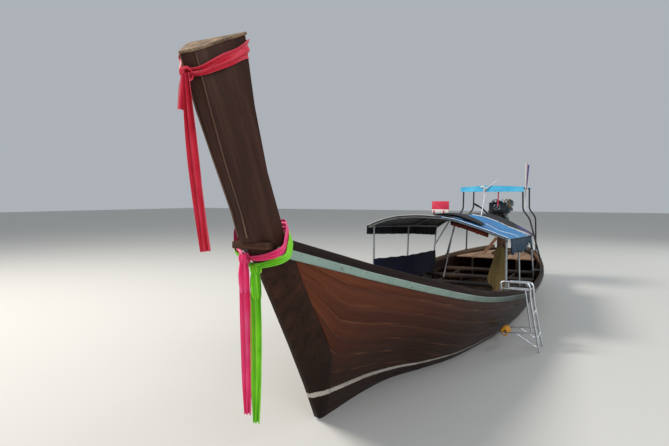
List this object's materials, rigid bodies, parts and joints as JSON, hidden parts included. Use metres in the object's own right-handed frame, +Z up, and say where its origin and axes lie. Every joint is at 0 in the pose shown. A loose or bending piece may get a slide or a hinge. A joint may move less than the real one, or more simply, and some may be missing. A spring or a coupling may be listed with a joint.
{
  "type": "longtail boat",
  "caption": "Wooden longtail boat with a tall raked prow tied with ribbons, pipe canopies, boarding ladder and an open engine on a swinging, tilting yoke with a long propeller shaft.",
  "frame": {"origin": "on the waterline, on the centreline, at the middle of the hull's length", "axes": "+X towards the bow, +Y to port, +Z up"},
  "size_m": [12.1311, 2.3388, 2.856],
  "materials": {
    "hull_planks": "varnished mahogany-red planks, worn along the seams",
    "stem": "dark oiled timber",
    "weathered": "bare weathered timber",
    "rail": "dark brown paint, rubbed on the top edge",
    "strake": "pale grey-green paint, worn",
    "prow": "dark varnished timber",
    "inner": "dark inner timber",
    "boards": "worn floor boards",
    "reddeck": "worn reddish boards",
    "pipe": "dull galvanised pipe",
    "darkcloth": "black and navy canvas",
    "bluecloth": "bright blue tarpaulin",
    "navycloth": "navy canvas",
    "clearcloth": "gathered blue-grey curtain",
    "rustcloth": "rolled rust-red canvas",
    "sign": "plain red board with a white strip",
    "olive": "olive-brown board",
    "blackpipe": "black painted pipe",
    "cyancloth": "light blue tarpaulin",
    "flagcloth": "limp flag, white with violet and red",
    "ladder": "polished stainless pipe",
    "float": "orange-yellow float",
    "redribbon": "thin red cloth",
    "pinkribbon": "thin pink cloth",
    "greenribbon": "thin green cloth",
    "darksteel": "dark worn paint",
    "castblock": "oily grey-blue castings",
    "alloy": "dull cast alloy",
    "rustpipe": "rusty heat-worn steel",
    "radiator": "black radiator",
    "tube": "grey paint",
    "bronze": "cast bronze"
  },
  "bodies": {
    "boat": {"hull_shell": "hull_planks", "stem_timber": "stem", "bow_crossbeam": "weathered", "transom": "hull_planks", "keel_timber": "stem", "sheer_rail_port": "rail", "sheer_rail_starboard": "rail", "rub_strake_port": "strake", "rub_strake_starboard": "strake", "prow_post": "prow", "prow_cap": "weathered", "rib_frames": "inner", "floor_boards": "boards", "foredeck": "boards", "stern_deck": "reddeck", "thwarts": "inner", "canopy_frame": "pipe", "canopy_cloth_dark": "darkcloth", "canopy_cloth_blue": "bluecloth", "side_valance": "navycloth", "side_screen": "navycloth", "port_curtain": "clearcloth", "rolled_screen": "rustcloth", "sign_board": "sign", "back_board": "olive", "engine_canopy_frame": "blackpipe", "engine_canopy_cloth": "cyancloth", "flag_pole": "pipe", "flag": "flagcloth", "boarding_ladder": "ladder", "ladder_float": "float", "ribbon_red": "redribbon", "ribbon_pink": "pinkribbon", "ribbon_green": "greenribbon", "engine_stand": "inner"},
    "yoke": {"engine_yoke": "darksteel"},
    "engine": {"engine_cradle": "darksteel", "engine_block": "castblock", "cylinder_head": "alloy", "intake": "alloy", "exhaust_pipe": "rustpipe", "radiator": "radiator", "tiller": "darksteel", "tail_tube": "tube"},
    "screw": {"propeller": "bronze"}
  },
  "joints": [
    {"name": "steering", "type": "hinge", "parent": "boat", "child": "yoke", "pos_m": [-3.85, 0, 0.906], "axis": [0, 0, 1], "range_deg": [-40, 40]},
    {"name": "tilt", "type": "hinge", "parent": "yoke", "child": "engine", "pos_m": [-3.85, 0, 1.12], "axis": [0, 1, 0], "range_deg": [-8, 25]},
    {"name": "propeller_spin", "type": "hinge", "parent": "engine", "child": "screw", "pos_m": [-7.28095, 0, -0.15834], "axis": [0.9272, 0, 0.3746], "continuous": true}
  ]
}
